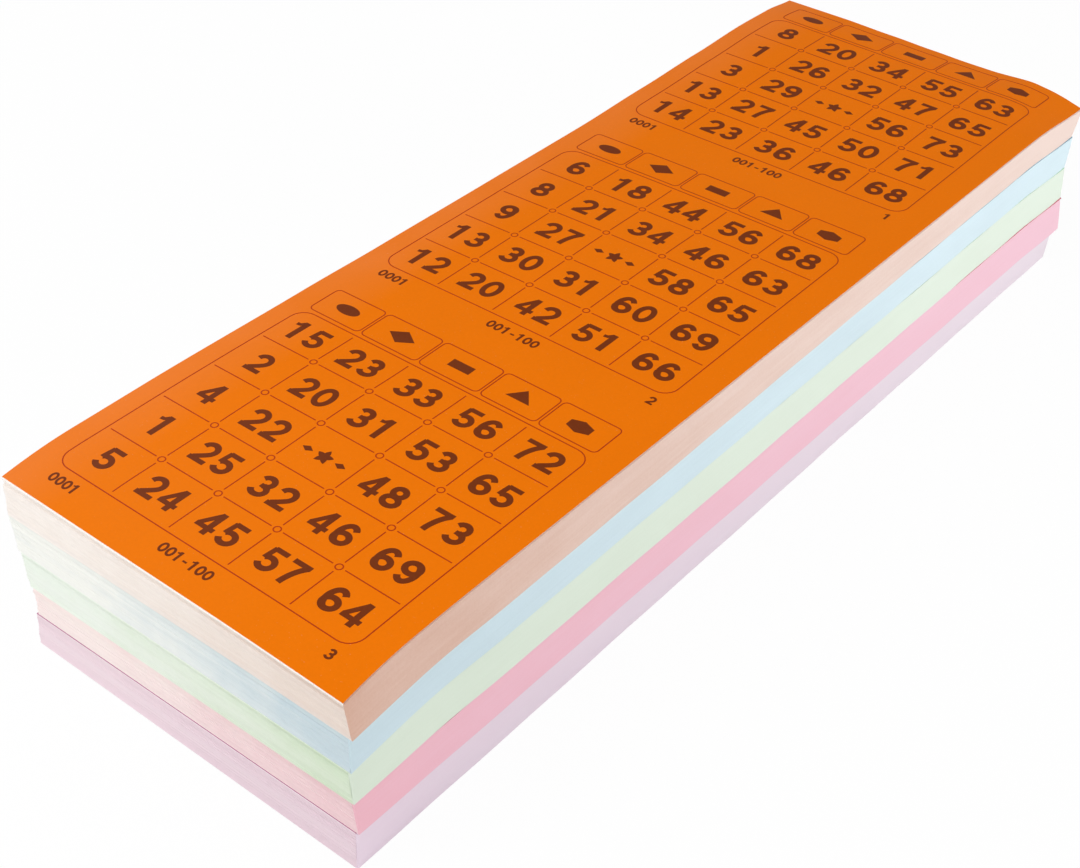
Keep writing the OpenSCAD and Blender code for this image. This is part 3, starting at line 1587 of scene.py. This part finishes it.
    def card(self, sheet: Sheet, index: int, rows: Card, serial: int) -> None:
        """Print one card's figures and marks.

        Args:
            sheet: The ink of the whole ticket so far.
            index: Which card it is, counted from the near end from 0.
            rows: Its numbers from the far row to the near one, with 0 for the free square.
            serial: The ticket's number.
        """
        lay = self.layout
        x0, y0 = lay.corner_of(index)
        for row, numbers in enumerate(reversed(rows)):
            y = y0 + lay.number_first_y + lay.number_pitch_y * row
            for column, number in enumerate(numbers):
                x = x0 + lay.column(column + 0.5) + lay.number_nudge
                if number:
                    self._write(sheet, str(number), (x, y), lay.number_height, lay.digit_advance)
                else:
                    self._stamp(sheet, self.star, (x, y))
        start, middle = x0 + lay.head_left, y0 + (lay.head_bottom + lay.head_top) / 2
        for mark, width in zip(Mark, lay.head_shares):
            self._stamp(sheet, self.marks[mark], (start + width / 2, middle))
            start += width + lay.head_gap
        y = y0 + lay.small_y
        small = (lay.small_height, lay.small_advance)
        self._write(sheet, f"{serial:04d}", (x0 + lay.serial_x, y), *small)
        self._write(sheet, "001-100", (x0 + lay.range_x, y), *small)
        self._write(sheet, str(CARDS - index), (x0 + lay.index_x, y + lay.index_lift), *small)

    def clear(self) -> None:
        """Drop the shapes that were only needed for stamping."""
        for mesh in [*self.type.values(), *self.marks.values(), self.star, self.rules]:
            mesh.use_fake_user = False
            bpy.data.meshes.remove(mesh)
        bpy.data.objects.remove(self.nib)


# The three cards of the ticket on top of the stack, from the near one, with 0 for the free square
FIRST_TICKET = (
    (
        (15, 23, 33, 56, 72),
        (2, 20, 31, 53, 65),
        (4, 22, 0, 48, 73),
        (1, 25, 32, 46, 69),
        (5, 24, 45, 57, 64),
    ),
    (
        (6, 18, 44, 56, 68),
        (8, 21, 34, 46, 63),
        (9, 27, 0, 58, 65),
        (13, 30, 31, 60, 69),
        (12, 20, 42, 51, 66),
    ),
    (
        (8, 20, 34, 55, 63),
        (1, 26, 32, 47, 65),
        (3, 29, 0, 56, 73),
        (13, 27, 45, 50, 71),
        (14, 23, 36, 46, 68),
    ),
)


def drawn_card(chance: random.Random) -> Card:
    """Draw a card's numbers: fifteen to choose from in each column, and a free middle.

    Args:
        chance: The seeded source of chance.

    Returns:
        Five rows of five numbers.
    """
    starts = [CHOICES * column + 1 for column in range(SQUARES)]
    columns = [chance.sample(range(start, start + CHOICES), SQUARES) for start in starts]
    columns[SQUARES // 2][SQUARES // 2] = 0
    return tuple(zip(*columns))


class TicketPrint:
    """The ink on one ticket."""

    SUNK = -0.03
    PROUD = 0.025
    # The layout was measured on a ticket whose middle lies here
    MEASURED_MIDDLE_X = -0.7

    def __init__(self, press: Press, builder: Builder) -> None:
        """Keep the press and the builder that settles the print into the stack."""
        self.press = press
        self.builder = builder

    def make(self, part: str, slab: Slab, serial: int, cards: Sequence[Card]) -> None:
        """Print a ticket.

        Args:
            part: The part of the pad that the ticket is in.
            slab: Where the ticket lies.
            serial: The ticket's number.
            cards: The numbers of its three cards, from the near one.
        """
        pad = self.builder.pad
        name = pad.node(f"{part}_ink_{serial:04d}")
        sheet = bmesh.new()
        fine = self.press.lines(sheet, len(cards))
        for index, rows in enumerate(cards):
            self.press.card(sheet, index, rows, serial)
        mesh = bpy.data.meshes.new(name)
        sheet.to_mesh(mesh)
        sheet.free()
        piece = add_object(name, mesh)
        points = points_of(mesh)
        points[:, :2] += self.shift(slab)
        points[:, 2] = slab.high[0, 0, 2] + np.where(points[:, 2] > 0.5, self.PROUD, self.SUNK)
        finishes = (pad.line_finish, pad.ink_finish)
        self.builder.finish_mesh(piece, points, part, finishes, "print", replaces=False)
        for face in mesh.polygons[fine:]:
            face.material_index = 1

    def shift(self, slab: Slab) -> np.ndarray:
        """Give how far the print lies aside, across and along, as the ticket's middle does."""
        middle = slab.high.reshape(-1, 3).mean(axis=0)
        return np.array([middle[0] - self.MEASURED_MIDDLE_X, middle[1]])


# Light, floor and camera


@dataclass(frozen=True)
class SoftLight:
    """A square lamp that points at the middle of the stack."""

    name: str
    place: tuple[float, float, float]
    size: float
    power: float

    def make(self) -> None:
        """Put the lamp in the scene."""
        lamp = bpy.data.lights.new(self.name, "AREA")
        lamp.shape = "SQUARE"
        lamp.size = self.size * MM
        lamp.energy = self.power
        holder = add_object(self.name, lamp)
        holder.location = Vector(self.place) * MM
        holder.rotation_euler = holder.location.to_track_quat("Z", "Y").to_euler()


@dataclass(frozen=True)
class Studio:
    """The pale floor, the soft light and the camera."""

    floor_size: float = 6000.0
    sky_strength: float = 0.38
    floor_glow_share: float = 0.96
    camera_place: tuple[float, float, float] = (153.35, -213.20, 201.57)
    camera_turn: float = 38.911
    camera_pitch: float = 38.263
    camera_roll: float = 0.628
    lens: float = 60.52
    sensor: float = 36.0

    def build(self) -> None:
        """Build all of it."""
        self._floor()
        self._sky()
        for lamp in (
            SoftLight("near_softbox", (-250, -440, 300), 300, 0.85),
            SoftLight("far_softbox", (560, 260, 140), 380, 2.15),
            SoftLight("high_softbox", (-60, -330, 520), 420, 1.2),
            SoftLight("left_window", (-390, 110, 360), 150, 0.25),
        ):
            lamp.make()
        self._camera()
        bpy.context.scene.view_settings.view_transform = "Standard"

    def _floor(self) -> None:
        """Add the pale floor, which keeps the object's shadow."""
        deselect_all()
        bpy.ops.mesh.primitive_grid_add(x_subdivisions=4, y_subdivisions=4, size=self.floor_size * MM)
        floor = bpy.context.object
        floor.name = "floor"
        recipe = Recipe("pale_floor")
        recipe.feed("Base Color", (0.95, 0.95, 0.95))
        recipe.feed("Roughness", 0.9)
        recipe.feed("Specular IOR Level", 0.0)
        glow = recipe.node("ShaderNodeEmission", {}, {"Color": (1.0, 1.0, 1.0), "Strength": 1.0})
        seen = recipe.node("ShaderNodeLightPath", {}, {}, "Is Camera Ray")
        body = Signal(recipe, recipe.shader.outputs[0])
        shares = {0: seen * self.floor_glow_share, 1: body, 2: glow}
        both = recipe.node("ShaderNodeMixShader", {}, shares)
        recipe.tree.links.new(both.socket, recipe.tree.nodes["Material Output"].inputs["Surface"])
        floor.data.materials.append(recipe.material)

    def _sky(self) -> None:
        """Light everything evenly from all round, with white behind."""
        world = bpy.data.worlds.new("soft_sky")
        bpy.context.scene.world = world
        world.use_nodes = True
        tree = world.node_tree
        background = tree.nodes["Background"]
        background.inputs["Color"].default_value = (1.0, 1.0, 1.0, 1.0)
        path = tree.nodes.new("ShaderNodeLightPath")
        seen = tree.nodes.new("ShaderNodeMath")
        seen.operation = "MAXIMUM"
        tree.links.new(path.outputs["Is Camera Ray"], seen.inputs[0])
        tree.links.new(path.outputs["Is Transmission Ray"], seen.inputs[1])
        strength = tree.nodes.new("ShaderNodeMapRange")
        strength.inputs["To Min"].default_value = self.sky_strength
        strength.inputs["To Max"].default_value = 1.0
        tree.links.new(seen.outputs[0], strength.inputs["Value"])
        tree.links.new(strength.outputs[0], background.inputs["Strength"])

    def _camera(self) -> None:
        """Add the camera where the photograph's stood."""
        data = bpy.data.cameras.new("camera")
        data.lens = self.lens
        data.sensor_width = self.sensor
        data.clip_start = 10 * MM
        data.clip_end = 20.0
        camera = add_object("camera", data)
        camera.location = Vector(self.camera_place) * MM
        turn = Matrix.Rotation(math.radians(self.camera_turn), 3, "Z")
        pitch = Matrix.Rotation(math.radians(90 - self.camera_pitch), 3, "X")
        roll = Matrix.Rotation(math.radians(self.camera_roll), 3, "Z")
        camera.rotation_euler = (turn @ pitch @ roll).to_euler()
        bpy.context.scene.camera = camera


def make_pads() -> list[Pad]:
    """Describe the five pads from the bottom of the stack upwards.

    Returns:
        The pads.
    """
    return [
        Pad(
            PadName.LILAC,
            face=linear(188, 114, 154),
            leaf=linear(233, 213, 222),
            washed=linear(239, 221, 228),
            glue=(linear(230, 211, 225), linear(234, 222, 231)),
            ink=linear(72, 46, 70),
            first_serial=401,
            lie=Lie(
                (0.9, 1.7), (5.4, 3.5), (0.45, 0.33), (0.23, 0.3), (0.1, 0.05), (0.17, -0.46),
                lip_glue=(-0.1, -0.1),
                inked_rim=True,
            ),
        ),
        Pad(
            PadName.PINK,
            face=linear(208, 66, 90),
            leaf=linear(242, 213, 217),
            washed=linear(249, 237, 234),
            glue=(linear(239, 180, 194), linear(244, 198, 213)),
            ink=linear(90, 25, 36),
            first_serial=301,
            lie=Lie(
                (1.3, 2.5), (5.0, 3.95), (0.35, -0.05), (1.85, 0.6), (0.2, 0.8), (-0.1, 0.3),
                flare=(0.0, 0.1),
                lip_near=(-0.1, 0.0),
                lip_glue=(-0.1, 0.5),
                gaps=(Gap(5, 0.05, 24.0, 1.0), Gap(12, 0.05, 31.0, 2.2)),
            ),
        ),
        Pad(
            PadName.GREEN,
            face=linear(150, 204, 148),
            leaf=linear(219, 232, 210),
            washed=linear(238, 244, 235),
            glue=(linear(216, 229, 211), linear(227, 240, 225)),
            ink=linear(45, 78, 44),
            first_serial=201,
            lie=Lie(
                (2.1, 1.2), (4.25, 3.4), (0.75, -0.1), (0.25, -0.75), (1.1, 1.05), (0.35, 0.6),
                flare=(0.15, 0.5),
                pinch=(-0.25, -0.3),
                lip_near=(-0.1, -0.1),
                lip_glue=(-0.1, 0.28),
            ),
        ),
        Pad(
            PadName.BLUE,
            face=linear(120, 168, 196),
            leaf=linear(207, 221, 227),
            washed=linear(244, 244, 239),
            glue=(linear(197, 218, 226), linear(216, 237, 245)),
            ink=linear(38, 62, 80),
            first_serial=101,
            lie=Lie(
                (0.6, 0.1), (3.25, 2.3), (-0.16, 0.55), (-0.44, 0.12), (0.55, 0.4), (0.3, 0.05),
                flare=(0.75, 0.5),
                pinch=(-0.3, -0.28),
                lip_near=(-0.1, 0.0),
                lip_glue=(-0.1, 0.2),
            ),
        ),
        Pad(
            PadName.ORANGE,
            face=linear(244, 122, 6),
            leaf=linear(236, 223, 214),
            washed=linear(245, 238, 232),
            glue=(linear(213, 170, 149), linear(240, 216, 205)),
            ink=linear(112, 42, 2),
            first_serial=1,
            lie=Lie(
                (0.5, 1.14), (2.75, 2.3), (0.25, 0.15), (-2.0, -0.8), (0.4, -0.3), (-0.1, 0.0),
                trim_near=(-0.83, -0.87),
                trim_far=(0.05, 0.82),
                flare=(0.6, 1.0),
                pinch=(-0.28, 0.0),
                gaps=(Gap(8, 0.04, 37.0, 0.4), Gap(14, 0.04, 23.0, 2.0)),
                bundle_backs=(0.24, 0.2, -0.02),
                fresh_leaves=4,
            ),
        ),
    ]


def dress(pad: Pad, form: StackForm, press: Press) -> None:
    """Build every piece of one pad.

    Args:
        pad: The pad.
        form: The waves and corners of the whole stack.
        press: The shapes that are printed.
    """
    builder = Builder(pad, form)
    builder.block()
    builder.loose_leaves()
    builder.glue()
    builder.sheet("second_ticket", pad.second, 1)
    builder.sheet("top_ticket", pad.top, 0)
    printer = TicketPrint(press, builder)
    chance = random.Random(pad.seed)
    first_pad = pad.name is PadName.ORANGE
    tickets = [("top_ticket", pad.top)]
    if first_pad:
        tickets += [("second_ticket", pad.second), ("loose_tickets", pad.loose)]
    for number, (part, slab) in enumerate(tickets):
        seen = first_pad and number == 0
        cards = FIRST_TICKET if seen else [drawn_card(chance) for _ in range(CARDS)]
        printer.make(part, slab, pad.first_serial + number, cards)


def main() -> None:
    """Build the pads and the studio."""
    logging.basicConfig(level=logging.INFO, format="%(name)s %(message)s")
    low, high = (np.array(corner) / MM for corner in CAD_BOX)
    form = StackForm(
        half_width=float(high[0] - low[0]) / 2,
        half_length=float(high[1] - low[1]) / 2,
        height=float(high[2]),
    )
    Studio().build()
    press = Press(CardLayout())
    for pad in make_pads():
        dress(pad, form, press)
    press.clear()


if __name__ == "__main__":
    main()
